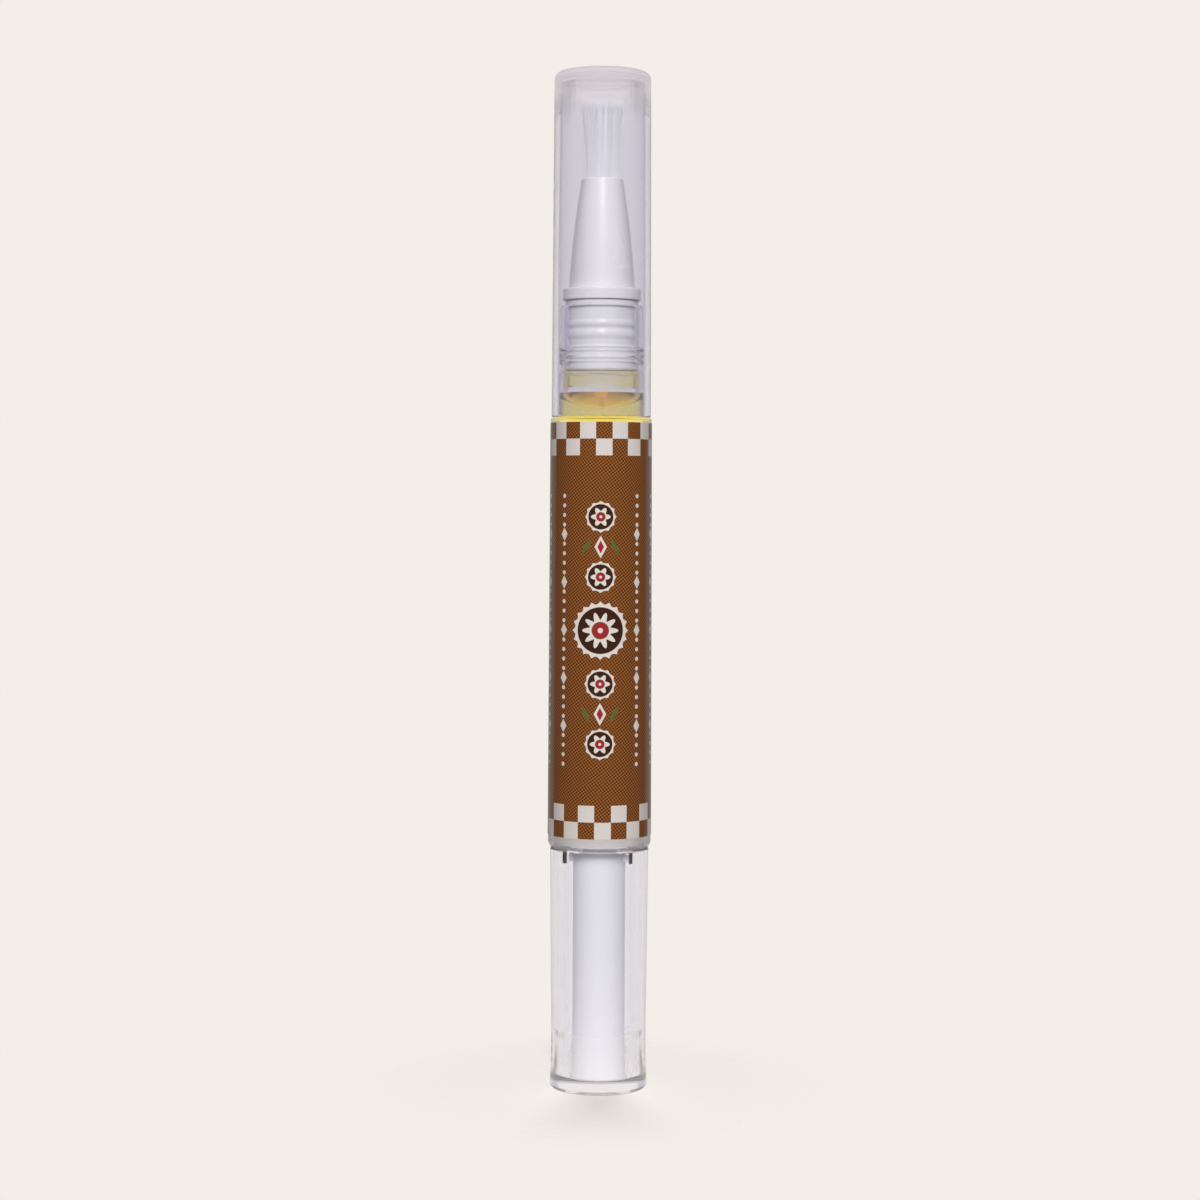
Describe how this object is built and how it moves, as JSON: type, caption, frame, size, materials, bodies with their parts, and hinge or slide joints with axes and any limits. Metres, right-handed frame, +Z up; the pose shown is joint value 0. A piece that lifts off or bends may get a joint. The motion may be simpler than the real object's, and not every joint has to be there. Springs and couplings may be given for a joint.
{
  "type": "nail oil pen",
  "caption": "Twist-up nail oil pen with a clear cap, brush tip, oil barrel, screw drive and clear twist knob, standing on its flat foot.",
  "frame": {"origin": "middle of the knob's flat foot, at the bottom of the pen", "axes": "+Z up along the pen from the knob to the cap, -Y towards the front of the label"},
  "size_m": [0.0126, 0.0127, 0.1235],
  "materials": {
    "clear_cap": "gloss",
    "clear_barrel": "gloss",
    "clear_knob": "gloss",
    "white_plastic": "satin",
    "plug_plastic": "satin",
    "core_plastic": "satin",
    "spring_plastic": "satin",
    "nylon": "satin",
    "label_film": "satin",
    "oil": "gloss"
  },
  "bodies": {
    "barrel": {"barrel": "clear_barrel", "label": "label_film", "neck_plug": "plug_plastic", "nozzle": "white_plastic", "tuft_holder": "white_plastic", "feed_tube": "white_plastic", "bristle_tuft": "nylon", "oil_fill": "oil", "drive_nut": "white_plastic", "ratchet_ring": "white_plastic", "retainer_ring": "white_plastic"},
    "cap": {"overcap": "clear_cap"},
    "knob": {"knob_shell": "clear_knob", "core_tube": "core_plastic", "drive_bush": "white_plastic", "click_spring": "spring_plastic"},
    "rod": {"screw_rod": "white_plastic"},
    "piston": {"piston": "plug_plastic"}
  },
  "joints": [
    {"name": "cap_pull", "type": "slide", "parent": "barrel", "child": "cap", "axis": [0, 0, 1], "range_m": [0, 0.045]},
    {"name": "knob_turn", "type": "hinge", "parent": "barrel", "child": "knob", "pos_m": [0, 0, 0.0146], "axis": [0, 0, 1], "range_deg": [0, 2880], "deforming": ["click_spring"]},
    {"name": "rod_slide", "type": "slide", "parent": "knob", "child": "rod", "axis": [0, 0, 1], "range_m": [0, 0.032]},
    {"name": "piston_slide", "type": "slide", "parent": "barrel", "child": "piston", "axis": [0, 0, 1], "range_m": [0, 0.032], "deforming": ["oil_fill"]}
  ],
  "couplings": [
    {"joint": "rod_slide", "follows": "knob_turn", "m_per_rad": 0.00063662},
    {"joint": "piston_slide", "follows": "knob_turn", "m_per_rad": 0.00063662}
  ]
}
